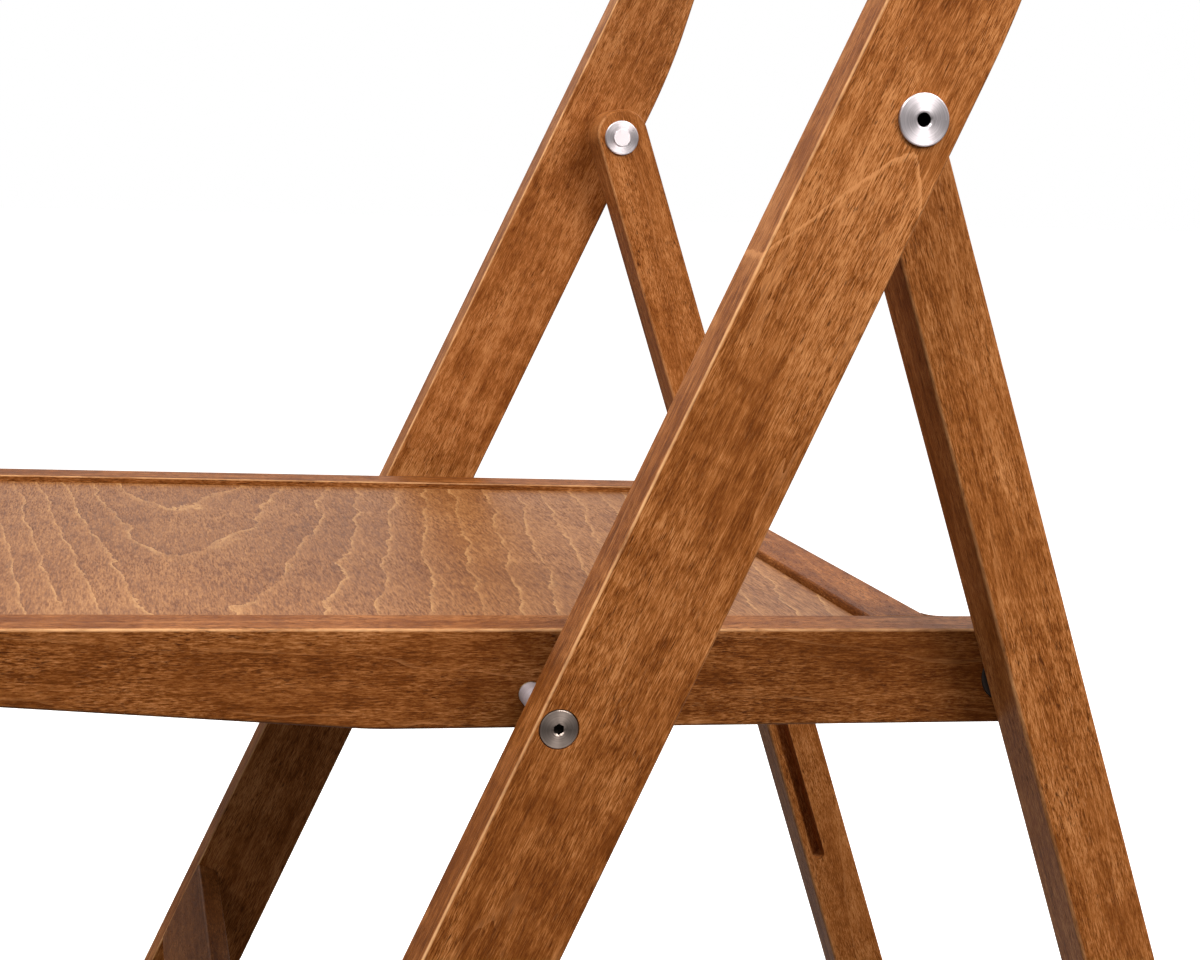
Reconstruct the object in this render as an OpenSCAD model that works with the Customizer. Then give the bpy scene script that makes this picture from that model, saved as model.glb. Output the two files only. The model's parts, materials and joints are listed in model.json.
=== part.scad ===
// Folding chair in stained hardwood. Two long stiles carry the seat and the backrest, and two rear
// legs swing on pivots high on the stiles. A pin at each rear corner of the seat slides in a groove
// on the inside of the rear leg, so the seat tips up as the legs close against the stiles.
// Units are millimetres. +Z is up, the chair faces -Y, and the origin is on the floor under the
// middle of the chair's overall box. Each side has three lanes: stile, rear leg and seat rail.

/* [Overall] */
// Overall width across the stiles
chair_width = 442; // [400:1:480]
// Height of the top of the stiles
chair_height = 775; // [720:1:820]
// Height of the seat pivot above the floor
pivot_height = 427; // [400:1:450]
// Thickness of the stiles, across the chair
stile_thick = 20; // [18:0.5:24]
// Thickness of the rear legs, across the chair
leg_thick = 24; // [20:0.5:28]
// Thickness of the side rails of the seat, across the chair
rail_thick = 22; // [18:0.5:26]
// Clear gap between neighbouring lanes
lane_gap = 0.8; // [0.5:0.1:2]
// Chamfer on the long edges of the boards
edge = 1.6; // [0.5:0.1:3]

/* [Stiles] */
// Slope of the stiles from the floor, in degrees
stile_angle = 64.65; // [60:0.05:72]
// Width of a stile seen from the side
stile_width = 40; // [34:0.5:46]
// Distance from the front edge of a stile to the seat pivot
stile_front = 7.4; // [6.8:0.1:12]
// Distance along the stile from the seat pivot to where the rear edge starts to narrow
taper_start = 236; // [230:1:280]
// Radius of the curve that leads into the narrow top
taper_radius = 330; // [120:5:400]
// Lean of the narrowed rear edge, in degrees
taper_angle = 7.3; // [4:0.1:9]
// Radius of the rounded top of a stile
stile_top_radius = 9; // [5:0.5:11]

/* [Rear legs] */
// Slope of the rear legs from the floor, in degrees
leg_angle = 72.15; // [68:0.05:76]
// Width of a rear leg seen from the side
leg_width = 25; // [22:0.5:30]
// Distance along the stile from the seat pivot to the leg pivot
leg_pivot_along = 214.3; // [200:0.1:235]
// Distance across the stile from the seat pivot to the leg pivot
leg_pivot_across = 19.6; // [16:0.1:22]
// Distance of the leg's centre line behind its pivot
leg_offset = 1.2; // [0:0.1:3]
// Distance of the guide groove's centre line in front of the leg pivot
groove_offset = 4.1; // [2:0.1:5]
// Width of the guide groove
groove_width = 6.2; // [5.6:0.1:8]
// Depth of the guide groove
groove_depth = 10; // [8:0.5:12]
// Distance along the leg from its pivot to the guide pin with the chair open
guide_along = 194; // [185:0.1:210]
// Distance along the leg from its pivot to the lower end of the groove
groove_end = 385.5; // [384:0.5:400]

/* [Seat] */
// Fall of the seat towards the back, in degrees
seat_tilt = 1.8; // [0:0.1:4]
// Height of the seat frame above the seat pivot
rail_above = 21.2; // [18:0.1:24]
// Depth of the seat frame below the seat pivot
rail_below = 11.4; // [9:0.1:14]
// Distance from the seat pivot to the front of the seat
seat_front = 204; // [190:1:206]
// Distance from the seat pivot to the back of the rear rail
seat_rear = 144; // [138:0.5:152]
// Distance from the seat pivot to the back end of a side rail
horn_end = 182; // [178:1:186]
// Distance from the seat pivot to where the underside of a side rail starts to rise
rise_start = 44; // [25:1:80]
// Rise of the underside at the front of a side rail
front_rise = 11; // [0:0.5:14]
// Thickness of the front and rear rails, from front to back
cross_rail = 22; // [18:0.5:26]
// Depth of the seat panel's face below the top of the frame
panel_recess = 2.7; // [0:0.1:4]
// Thickness of the seat panel
panel_thick = 8; // [5:0.5:10]
// Depth of the grooves that hold the panel
panel_groove = 6; // [4:0.5:8]

/* [Backrest and stretchers] */
// Distance along the stile from the seat pivot to the bottom of the backrest
back_start = 316; // [305:1:330]
// Height of the backrest, measured along the stiles
back_height = 58; // [45:1:70]
// Thickness of the backrest
back_thick = 12; // [10:0.5:16]
// Distance from the front edges of the stiles to the front of the backrest's ends
back_inset = 5; // [3:0.5:8]
// Rearward bow of the backrest at its middle
back_bow = 20; // [10:1:30]
// Distance down the stile from the seat pivot to the top of the front stretcher
stretcher_down = 196; // [190:0.5:210]
// Height of the front stretcher
stretcher_height = 41; // [36:0.5:48]
// Thickness of the front stretcher
stretcher_thick = 10.5; // [9:0.5:12]
// Distance down the leg from its pivot to the top of the rear stretcher
rear_stretcher_down = 500; // [470:1:560]
// Height of the rear stretcher
rear_stretcher_height = 40; // [30:1:48]
// Thickness of the rear stretcher
rear_stretcher_thick = 16; // [12:0.5:20]

/* [Pivots and fittings] */
// Radius of the leg pivot heads
leg_head_radius = 8.2; // [7:0.1:9]
// Thickness of the leg pivot heads
leg_head_thick = 1.2; // [0.9:0.1:2]
// Radius of the leg pivot sleeves
leg_sleeve_radius = 4; // [3.5:0.1:5]
// Radius of the screws inside the leg pivot sleeves
leg_screw_radius = 2.5; // [2:0.1:3]
// Radius of the seat pivot heads
seat_head_radius = 6.1; // [5.5:0.1:6.4]
// Thickness of the seat pivot heads
seat_head_thick = 2.4; // [1.8:0.1:3]
// Radius of the seat pivot bolts
seat_bolt_radius = 3; // [2.5:0.1:3.5]
// Radius of the spacer sleeves around the seat pivot bolts
spacer_radius = 3.9; // [3.6:0.1:4.2]
// Radius of the threaded inserts in the side rails
insert_radius = 3.9; // [3.8:0.1:5]
// Length of the threaded inserts
insert_length = 14; // [10:1:18]
// Width across the flats of the sockets in the leg pivot heads
leg_socket = 4.8; // [4:0.1:5]
// Width across the flats of the sockets in the screws' heads
leg_screw_socket = 3.8; // [3:0.1:4]
// Width across the flats of the sockets in the seat pivot heads
seat_socket = 3.2; // [3:0.1:4]
// Radius of the guide pins
guide_radius = 2.9; // [2.5:0.1:3.4]
// Radius of the flanges around the guide pins
flange_radius = 8.5; // [7:0.1:10]
// Thickness of the flanges
flange_thick = 1.5; // [1:0.1:2]
// Radius of the wooden dowels
dowel_radius = 4; // [3:0.5:5]
// Radius of the dowels in the corners of the seat frame
rail_dowel_radius = 3; // [2:0.5:4]
// Depth of the dowels in each piece
dowel_depth = 12; // [10:1:16]
// Radius of the floor glides
glide_radius = 8; // [6:0.5:10]
// Thickness of the floor glides
glide_thick = 3; // [2:0.5:5]

/* [Hidden] */
$fn = 48;
run = 0.05;
snug = 0.02;
eps = 0.01;
stem_radius = 2;
stem_length = 12;
taper_sides = 8;
over = 1;
bore_gap = 0.2;
head_rim = 0.4;
head_sink = 0.2;
socket_depth = 2.2;
socket_wall = 3;
rail_nose = 4;
leg_crown = 1;
pin_gap = 0.3;
glide_rim = 0.8;

stile_out = chair_width / 2;
stile_in = stile_out - stile_thick;
leg_out = stile_in - lane_gap;
leg_in = leg_out - leg_thick;
rail_out = leg_in - lane_gap;
rail_in = rail_out - rail_thick;

stile_rear = stile_width - stile_front;
head_out = stile_out - head_sink;
stile_top = (chair_height - pivot_height - stile_top_radius
    + (stile_top_radius - stile_front) * cos(stile_angle)) / sin(stile_angle) + stile_top_radius;
leg_y = leg_pivot_along * cos(stile_angle) + leg_pivot_across * sin(stile_angle);
leg_z = leg_pivot_along * sin(stile_angle) - leg_pivot_across * cos(stile_angle);
leg_front = leg_offset - leg_width / 2;
leg_rear = leg_offset + leg_width / 2;
leg_drop = pivot_height + leg_z - glide_thick;

foot_front = -(pivot_height - glide_thick) / tan(stile_angle) - stile_front / sin(stile_angle);
foot_rear = leg_y + leg_drop / tan(leg_angle) + leg_rear / sin(leg_angle);
middle = (foot_front + foot_rear) / 2;
stile_foot_y = foot_front + stile_width / sin(stile_angle) / 2 - middle;
leg_foot_y = foot_rear - leg_width / sin(leg_angle) / 2 - middle;

guide_y = leg_y + guide_along * cos(leg_angle) - groove_offset * sin(leg_angle);
guide_z = leg_z - guide_along * sin(leg_angle) - groove_offset * cos(leg_angle);
guide_rail_y = guide_y * cos(seat_tilt) - guide_z * sin(seat_tilt);
guide_rail_z = guide_y * sin(seat_tilt) + guide_z * cos(seat_tilt);

panel_top = rail_above - panel_recess;
panel_front = seat_front - cross_rail + panel_groove;
panel_rear = seat_rear - cross_rail + panel_groove;
back_radius = (stile_in * stile_in + back_bow * back_bow) / (2 * back_bow);
back_across = back_inset - stile_front;
dowel_shares = [0.28, 0.72];
back_dowels = [for (part = dowel_shares) back_start + back_height * part];
leg_bore = leg_sleeve_radius + run;
bolt_bore = seat_bolt_radius + run;
dowel_bore = dowel_radius + snug;
front_dowels = [5, 15];
rear_dowels = [-3, 12];

// Seat pivot height and the middle of the chair: everything is placed from the seat pivot.
module chair() {
    translate([0, -middle, pivot_height]) children();
}

// Along a stile: local Z runs up the stile and local Y runs towards its rear edge.
module on_stile() {
    chair() rotate([stile_angle - 90, 0, 0]) children();
}

// Along a rear leg, with the leg pivot as its origin and local Z up the leg.
module on_leg() {
    chair() translate([0, leg_y, leg_z]) rotate([90 - leg_angle, 0, 0]) children();
}

// Along the seat, with the seat pivot as its origin and local Z out of the seat's face.
module on_seat() {
    chair() rotate([-seat_tilt, 0, 0]) children();
}

// Both sides of the chair.
module both() {
    children();
    mirror([1, 0, 0]) children();
}

// A board whose side view is the child profile, from one lane face to the other.
module board_between(x_low, x_high) {
    hull() {
        translate([x_low + edge, 0, 0])
            rotate([90, 0, 90])
                linear_extrude(x_high - x_low - 2 * edge) children();
        translate([x_low, 0, 0])
            rotate([90, 0, 90])
                linear_extrude(x_high - x_low) offset(delta = -edge) children();
    }
}

// A round bar or bore across the chair.
module across(x_low, x_high, radius) {
    translate([x_low, 0, 0])
        rotate([0, 90, 0])
            cylinder(h = x_high - x_low, r = radius);
}

// A hexagonal socket cut into a head from its outer face.
module socket(x_low, x_high, flats) {
    translate([x_low, 0, 0])
        rotate([0, 90, 0])
            cylinder(h = x_high - x_low, d = flats / cos(30), $fn = 6);
}

// Side view of a stile: straight front edge, narrowing rear edge and a floor cut at the foot.
module stile_profile() {
    foot_shift = (pivot_height - glide_thick) / sin(stile_angle);
    front_foot = -foot_shift - stile_front / tan(stile_angle);
    rear_foot = -foot_shift + stile_rear / tan(stile_angle);
    curve = [for (i = [0:taper_sides])
        let (a = taper_angle * i / taper_sides)
        [stile_rear - taper_radius * (1 - cos(a)), taper_start + taper_radius * sin(a)]];
    bend = curve[taper_sides];
    top_rear = bend[0] - (stile_top - bend[1]) * tan(taper_angle);
    hull() {
        polygon(concat([[-stile_front, front_foot], [stile_rear, rear_foot]], curve,
            [[-stile_front, bend[1]]]));
        translate([-stile_front + stile_top_radius, stile_top - stile_top_radius])
            circle(stile_top_radius);
        translate([top_rear - stile_top_radius, stile_top - stile_top_radius])
            circle(stile_top_radius);
    }
}

// Side view of a rear leg: rounded around its pivot and cut level with the floor.
module leg_profile() {
    drop = leg_drop / sin(leg_angle);
    hull() {
        translate([leg_offset, leg_crown]) circle(leg_width / 2);
        polygon([[leg_front, -drop - leg_front / tan(leg_angle)],
            [leg_rear, -drop - leg_rear / tan(leg_angle)],
            [leg_rear, 0], [leg_front, 0]]);
    }
}

// Side view of a seat rail: rising underside at the front and a rounded tail at the back.
module rail_profile() {
    tail = (rail_above + rail_below) / 2;
    tail_z = rail_above - tail;
    hull() {
        polygon([[-seat_front + rail_nose, rail_above], [-seat_front, rail_above - rail_nose],
            [-seat_front, front_rise - rail_below + rail_nose],
            [-seat_front + rail_nose, front_rise - rail_below],
            [-rise_start, -rail_below], [horn_end - tail, -rail_below],
            [horn_end - tail, rail_above]]);
        translate([horn_end - tail, tail_z]) circle(tail);
    }
}

// Bores for a pair of dowels that run across the chair at one height along a board.
module dowel_pair(x_low, x_high, places, across_y, radius) {
    for (place = places)
        translate([0, across_y, place]) across(x_low, x_high, radius);
}

module right_stile() {
    mid = stretcher_thick / 2 - stile_front;
    color([0.45, 0.25, 0.12])
    difference() {
        on_stile() board_between(stile_in, stile_out) stile_profile();
        on_stile() across(stile_in - over, stile_out + over, bolt_bore);
        on_stile() across(head_out - seat_head_thick, stile_out + over, seat_head_radius + bore_gap);
        on_stile() translate([0, leg_pivot_across, leg_pivot_along])
            across(stile_in - over, stile_out + over, leg_bore);
        for (part = dowel_shares)
            on_stile() translate([0, mid, -stretcher_down - stretcher_height * part])
                across(stile_in - over, stile_in + dowel_depth, dowel_bore);
        on_stile() dowel_pair(stile_in - over, stile_in + dowel_depth, back_dowels,
            back_across + back_thick / 2, dowel_bore);
        glide_bore(stile_out - stile_thick / 2, stile_foot_y);
    }
}

module left_stile() {
    mirror([1, 0, 0]) right_stile();
}

module front_stretcher() {
    mid = stretcher_thick / 2 - stile_front;
    color([0.42, 0.23, 0.11])
    on_stile() difference() {
        translate([0, mid, -stretcher_down - stretcher_height / 2])
            hull() {
                cube([2 * stile_in, stretcher_thick - 2 * edge, stretcher_height], center = true);
                cube([2 * stile_in, stretcher_thick, stretcher_height - 2 * edge], center = true);
            }
        both()
            for (part = dowel_shares)
                translate([0, mid, -stretcher_down - stretcher_height * part])
                    across(stile_in - dowel_depth, stile_in + over, dowel_bore);
    }
}

module front_stretcher_dowels() {
    mid = stretcher_thick / 2 - stile_front;
    color([0.80, 0.66, 0.48])
    on_stile() both()
        for (part = dowel_shares)
            translate([0, mid, -stretcher_down - stretcher_height * part])
                across(stile_in - dowel_depth, stile_in + dowel_depth, dowel_radius);
}

// Curved top rail, bowed to the rear and fixed between the stiles.
module backrest() {
    centre_y = back_across + back_bow - back_radius;
    sweep = asin(stile_in / back_radius) + 2;
    color([0.45, 0.25, 0.12])
    on_stile() difference() {
        intersection() {
            translate([0, centre_y, back_start + back_height / 2])
                rotate([0, 0, 90 - sweep])
                    rotate_extrude(angle = 2 * sweep, $fn = 240)
                        translate([back_radius + back_thick / 2, 0])
                            hull() {
                                square([back_thick, back_height - 2 * edge], center = true);
                                square([back_thick - 2 * edge, back_height], center = true);
                            }
            translate([-stile_in, back_across - back_thick, back_start - over])
                cube([2 * stile_in, back_bow + 3 * back_thick, back_height + 2 * over]);
        }
        both()
            dowel_pair(stile_in - dowel_depth, stile_in + over, back_dowels,
                back_across + back_thick / 2, dowel_bore);
    }
}

module backrest_dowels() {
    color([0.80, 0.66, 0.48])
    on_stile() both()
        dowel_pair(stile_in - dowel_depth, stile_in + dowel_depth, back_dowels,
            back_across + back_thick / 2, dowel_radius);
}

// Flat-headed sleeve through each stile and rear leg.
module leg_pivot_sleeves() {
    color([0.70, 0.69, 0.67])
    on_stile() both() translate([0, leg_pivot_across, leg_pivot_along]) difference() {
        union() {
            across(leg_in + leg_head_thick, stile_out + eps, leg_sleeve_radius);
            across(stile_out, stile_out + leg_head_thick - head_rim, leg_head_radius);
            translate([stile_out + leg_head_thick - head_rim, 0, 0])
                rotate([0, 90, 0])
                    cylinder(h = head_rim, r1 = leg_head_radius, r2 = leg_head_radius - head_rim);
        }
        across(leg_in, stile_out - 2 * socket_wall, leg_screw_radius);
        socket(stile_out - socket_depth, stile_out + leg_head_thick + over, leg_socket);
    }
}

// Screw into each sleeve, with its flat head on the inner face of the rear leg.
module leg_pivot_screws() {
    color([0.60, 0.59, 0.57])
    on_stile() both() translate([0, leg_pivot_across, leg_pivot_along]) difference() {
        union() {
            across(leg_in - run - eps, stile_out - 3 * socket_wall, leg_screw_radius - snug);
            across(leg_in - leg_head_thick, leg_in - run, leg_head_radius);
        }
        socket(leg_in - leg_head_thick - over, leg_in + socket_depth, leg_screw_socket);
    }
}

// Thin washer between each stile and rear leg.
module leg_pivot_washers() {
    color([0.20, 0.20, 0.20])
    on_stile() both() translate([0, leg_pivot_across, leg_pivot_along]) difference() {
        across(leg_out + bore_gap, stile_in, leg_head_radius);
        across(leg_out - over, stile_in + over, leg_bore);
    }
}

// Bolt through each stile and spacer into the seat rail, with a turned head sunk in the stile.
module seat_pivot_bolts() {
    color([0.50, 0.48, 0.46])
    on_stile() both() difference() {
        union() {
            across(rail_out - insert_length, head_out - seat_head_thick + eps, seat_bolt_radius);
            across(head_out - seat_head_thick, head_out - head_rim, seat_head_radius);
            translate([head_out - head_rim, 0, 0])
                rotate([0, 90, 0])
                    cylinder(h = head_rim, r1 = seat_head_radius, r2 = seat_head_radius - head_rim);
        }
        socket(head_out - socket_depth, head_out + over, seat_socket);
    }
}

// Steel sleeve that keeps the seat rail one lane away from the stile.
module seat_pivot_spacers() {
    color([0.62, 0.60, 0.60])
    on_stile() both() difference() {
        across(rail_out + bore_gap, stile_in, spacer_radius);
        across(rail_out - over, stile_in + over, bolt_bore);
    }
}

// Round nylon glide under a foot, with a stem up into the wood.
module foot_glide(x, y) {
    translate([x, y, 0]) {
        cylinder(h = glide_rim, r1 = glide_radius - glide_rim, r2 = glide_radius);
        translate([0, 0, glide_rim]) cylinder(h = glide_thick - glide_rim, r = glide_radius);
        translate([0, 0, glide_thick - eps]) cylinder(h = stem_length, r = stem_radius);
    }
}

// Hole in a foot for the stem of its glide.
module glide_bore(x, y) {
    translate([x, y, 0]) cylinder(h = glide_thick + stem_length, r = stem_radius + snug);
}

module stile_glides() {
    color([0.10, 0.08, 0.07])
    both() foot_glide(stile_out - stile_thick / 2, stile_foot_y);
}

module right_leg() {
    color([0.43, 0.24, 0.12])
    difference() {
        on_leg() board_between(leg_in, leg_out) leg_profile();
        on_leg() across(leg_in - over, leg_out + over, leg_bore);
        on_leg() hull() {
            translate([0, -groove_offset, -guide_along])
                across(leg_in - over, leg_in + groove_depth, groove_width / 2);
            translate([0, -groove_offset, groove_width / 2 - groove_end])
                across(leg_in - over, leg_in + groove_depth, groove_width / 2);
        }
        for (part = dowel_shares)
            on_leg()
                translate([0, leg_offset, -rear_stretcher_down - rear_stretcher_height * part])
                    across(leg_in - over, leg_in + dowel_depth, dowel_bore);
        glide_bore(leg_out - leg_thick / 2, leg_foot_y);
    }
}

module left_leg() {
    mirror([1, 0, 0]) right_leg();
}

module rear_stretcher() {
    color([0.42, 0.23, 0.11])
    on_leg() difference() {
        translate([0, leg_offset, -rear_stretcher_down - rear_stretcher_height / 2])
            hull() {
                cube([2 * leg_in, rear_stretcher_thick - 2 * edge, rear_stretcher_height],
                    center = true);
                cube([2 * leg_in, rear_stretcher_thick, rear_stretcher_height - 2 * edge],
                    center = true);
            }
        both()
            for (part = dowel_shares)
                translate([0, leg_offset, -rear_stretcher_down - rear_stretcher_height * part])
                    across(leg_in - dowel_depth, leg_in + over, dowel_bore);
    }
}

module rear_stretcher_dowels() {
    color([0.80, 0.66, 0.48])
    on_leg() both()
        for (part = dowel_shares)
            translate([0, leg_offset, -rear_stretcher_down - rear_stretcher_height * part])
                across(leg_in - dowel_depth, leg_in + dowel_depth, dowel_radius);
}

module leg_glides() {
    color([0.10, 0.08, 0.07])
    both() foot_glide(leg_out - leg_thick / 2, leg_foot_y);
}

// Dowel places in the seat's corners, as distances from the seat pivot.
module corner_dowels(x_low, x_high, radius) {
    for (z = front_dowels)
        translate([0, cross_rail / 2 - seat_front, z]) across(x_low, x_high, radius);
    for (z = rear_dowels)
        translate([0, seat_rear - cross_rail / 2, z]) across(x_low, x_high, radius);
}

module right_seat_rail() {
    color([0.45, 0.25, 0.12])
    on_seat() difference() {
        board_between(rail_in, rail_out) rail_profile();
        across(rail_out - insert_length, rail_out + over, insert_radius + snug);
        translate([0, guide_rail_y, guide_rail_z])
            across(rail_out - flange_thick - head_sink, rail_out + over, flange_radius + bore_gap);
        translate([0, guide_rail_y, guide_rail_z])
            across(rail_out - insert_length, rail_out, insert_radius + snug);
        translate([rail_in - over, -panel_front, panel_top - panel_thick])
            cube([panel_groove + over, panel_front + panel_rear, panel_thick]);
        corner_dowels(rail_in - over, rail_in + dowel_depth, rail_dowel_radius + snug);
    }
}

module left_seat_rail() {
    mirror([1, 0, 0]) right_seat_rail();
}

// Cross rail of the seat frame between its two faces, front face first.
module cross_rail_between(y_low, y_high, bottom, groove_y) {
    difference() {
        translate([0, (y_low + y_high) / 2, 0])
            hull() {
                translate([-rail_in, -(y_high - y_low) / 2, bottom + edge])
                    cube([2 * rail_in, y_high - y_low, rail_above - bottom - 2 * edge]);
                translate([-rail_in, -(y_high - y_low) / 2 + edge, bottom])
                    cube([2 * rail_in, y_high - y_low - 2 * edge, rail_above - bottom]);
            }
        translate([-rail_in - over, groove_y, panel_top - panel_thick])
            cube([2 * (rail_in + over), panel_groove, panel_thick]);
        both() corner_dowels(rail_in - dowel_depth, rail_in + over, rail_dowel_radius + snug);
    }
}

module front_seat_rail() {
    color([0.43, 0.24, 0.12])
    on_seat()
        cross_rail_between(-seat_front, cross_rail - seat_front, front_rise - rail_below,
            -panel_front);
}

module rear_seat_rail() {
    color([0.43, 0.24, 0.12])
    on_seat()
        cross_rail_between(seat_rear - cross_rail, seat_rear, -rail_below,
            panel_rear - panel_groove);
}

module seat_rail_dowels() {
    color([0.80, 0.66, 0.48])
    on_seat() both()
        corner_dowels(rail_in - dowel_depth, rail_in + dowel_depth, rail_dowel_radius);
}

// Veneered panel held in the grooves of the seat frame.
module seat_panel() {
    color([0.50, 0.29, 0.15])
    on_seat()
        translate([-rail_in - panel_groove, -panel_front, panel_top - panel_thick])
            cube([2 * (rail_in + panel_groove), panel_front + panel_rear, panel_thick]);
}

module seat_pivot_inserts() {
    color([0.72, 0.56, 0.26])
    on_seat() both() difference() {
        across(rail_out - insert_length, rail_out - head_sink, insert_radius);
        across(rail_out - insert_length - over, rail_out + over, bolt_bore);
    }
}

// Flanged steel bush at the tail of each side rail, where the guide pin leaves the seat.
module guide_flanges() {
    color([0.36, 0.35, 0.35])
    on_seat() both() translate([0, guide_rail_y, guide_rail_z]) difference() {
        union() {
            across(rail_out - insert_length, rail_out - flange_thick, insert_radius);
            across(rail_out - flange_thick - head_sink, rail_out - head_sink, flange_radius);
        }
        across(rail_out - insert_length + over, rail_out + over, guide_radius + run);
    }
}

// Pins that run in the grooves of the rear legs.
module guide_pins() {
    color([0.60, 0.59, 0.58])
    on_leg() both() translate([0, -groove_offset, -guide_along])
        across(rail_out + pin_gap, leg_in + groove_depth - pin_gap, guide_radius);
}

left_stile();
right_stile();
front_stretcher();
front_stretcher_dowels();
backrest();
backrest_dowels();
leg_pivot_sleeves();
leg_pivot_screws();
leg_pivot_washers();
seat_pivot_bolts();
seat_pivot_spacers();
stile_glides();
left_leg();
right_leg();
rear_stretcher();
rear_stretcher_dowels();
leg_glides();
left_seat_rail();
right_seat_rail();
front_seat_rail();
rear_seat_rail();
seat_rail_dowels();
seat_panel();
seat_pivot_inserts();
guide_flanges();
guide_pins();
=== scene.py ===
import json
import math

import bmesh
import bpy
from mathutils import Matrix, Vector
from mathutils.geometry import convex_hull_2d


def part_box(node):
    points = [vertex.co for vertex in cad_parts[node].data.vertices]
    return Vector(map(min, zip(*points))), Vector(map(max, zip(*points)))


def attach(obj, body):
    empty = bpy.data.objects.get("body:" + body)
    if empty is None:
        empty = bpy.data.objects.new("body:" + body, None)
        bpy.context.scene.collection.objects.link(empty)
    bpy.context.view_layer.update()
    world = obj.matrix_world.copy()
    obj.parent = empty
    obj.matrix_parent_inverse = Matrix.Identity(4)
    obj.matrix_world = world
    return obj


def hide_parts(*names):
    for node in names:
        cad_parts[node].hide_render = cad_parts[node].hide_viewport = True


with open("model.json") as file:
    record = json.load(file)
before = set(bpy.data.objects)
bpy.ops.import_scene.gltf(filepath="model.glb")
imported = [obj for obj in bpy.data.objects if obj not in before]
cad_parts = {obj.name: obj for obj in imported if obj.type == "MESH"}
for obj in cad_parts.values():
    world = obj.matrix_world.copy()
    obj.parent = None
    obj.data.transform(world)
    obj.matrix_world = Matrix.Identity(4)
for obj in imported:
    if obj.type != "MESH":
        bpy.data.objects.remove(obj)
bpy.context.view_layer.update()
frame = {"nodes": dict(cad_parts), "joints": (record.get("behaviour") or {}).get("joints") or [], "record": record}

mm = 0.001


# where things are
joints = {j["name"]: j for j in frame["joints"]}
seatPivot = Vector(joints["seat_fold"]["pos_m"])
legPivot = Vector(joints["leg_fold"]["pos_m"])

slopes = {"stile": 64.65, "leg": 72.15, "seat": 1.8}


def direction(degrees):
    a = math.radians(degrees)
    return Vector((0, math.cos(a), math.sin(a)))


# each plane: origin, along the board, across the board
stilePlane = (seatPivot, direction(slopes["stile"]), direction(slopes["stile"] - 90))
legPlane = (legPivot, direction(-slopes["leg"]), direction(90 - slopes["leg"]))
seatPlane = (seatPivot, direction(-slopes["seat"]), direction(90 - slopes["seat"]))

lanes = {
    "stileOut": 221.0,
    "stileIn": 201.0,
    "legOut": 200.2,
    "legIn": 176.2,
    "railOut": 175.4,
    "railIn": 153.4,
}


def addObject(name, data):
    thing = bpy.data.objects.new(name, data)
    bpy.context.scene.collection.objects.link(thing)
    return thing


# camera
cameraSpec = {
    "place": (826.216, -128.139, 164.333),  # from the seat pivot, in mm
    "yaw": 15.277,
    "pitch": -6.776,
    "roll": 1.456,
    "focal": 1.75178,
    "shiftX": -0.07169,
    "shiftY": -0.03928,
}


def makeCamera(spec):
    yaw, pitch, roll = (math.radians(spec[k]) for k in ("yaw", "pitch", "roll"))
    forward = Vector((-math.cos(yaw) * math.cos(pitch), math.sin(yaw) * math.cos(pitch), math.sin(pitch)))
    right = forward.cross(Vector((0, 0, 1))).normalized()
    up = right.cross(forward)
    right, up = right * math.cos(roll) + up * math.sin(roll), up * math.cos(roll) - right * math.sin(roll)
    data = bpy.data.cameras.new("chairCamera")
    data.sensor_fit = "HORIZONTAL"
    data.sensor_width = 36.0
    data.lens = 36.0 * spec["focal"]
    data.shift_x = spec["shiftX"]
    data.shift_y = spec["shiftY"]
    data.clip_start = 0.02
    data.clip_end = 60
    camera = addObject("chairCamera", data)
    place = seatPivot + Vector(spec["place"]) * mm
    axes = Matrix((right, up, -forward)).transposed().to_4x4()
    camera.matrix_world = Matrix.Translation(place) @ axes
    bpy.context.scene.camera = camera


makeCamera(cameraSpec)
print("camera placed")


# node helpers
def newMaterial(name):
    mat = bpy.data.materials.new(name)
    mat.use_nodes = True
    tree = mat.node_tree
    tree.nodes.clear()
    out = tree.nodes.new("ShaderNodeOutputMaterial")
    shader = tree.nodes.new("ShaderNodeBsdfPrincipled")
    tree.links.new(shader.outputs["BSDF"], out.inputs["Surface"])
    return mat, tree, shader


def put(tree, kind, inputs=None, **props):
    node = tree.nodes.new(kind)
    for key, value in props.items():
        setattr(node, key, value)
    for key, value in (inputs or {}).items():
        socket = node.inputs[key]
        if isinstance(value, bpy.types.NodeSocket):
            tree.links.new(value, socket)
        else:
            socket.default_value = value
    return node


def calc(tree, operation, a, b=0.0, c=None):
    inputs = {0: a, 1: b}
    if c is not None:
        inputs[2] = c
    return put(tree, "ShaderNodeMath", inputs, operation=operation).outputs[0]


def mul(tree, a, b):
    return calc(tree, "MULTIPLY", a, b)


def mulAdd(tree, a, b, c):
    return calc(tree, "MULTIPLY_ADD", a, b, c)


def minus(tree, a, b):
    return calc(tree, "SUBTRACT", a, b)


def stretch(tree, vector, scale, shift=(0, 0, 0)):
    inputs = {"Vector": vector, "Scale": scale, "Location": shift}
    return put(tree, "ShaderNodeMapping", inputs).outputs[0]


def noise(tree, vector, detail=3.0, rough=0.5, distort=0.0):
    inputs = {"Vector": vector, "Scale": 1.0, "Detail": detail, "Roughness": rough, "Distortion": distort}
    return put(tree, "ShaderNodeTexNoise", inputs, noise_dimensions="3D").outputs["Fac"]


def band(tree, value, low, high, toLow=0.0, toHigh=1.0):
    inputs = {"Value": value, "From Min": low, "From Max": high, "To Min": toLow, "To Max": toHigh}
    return put(tree, "ShaderNodeMapRange", inputs, clamp=True).outputs["Result"]


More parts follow.
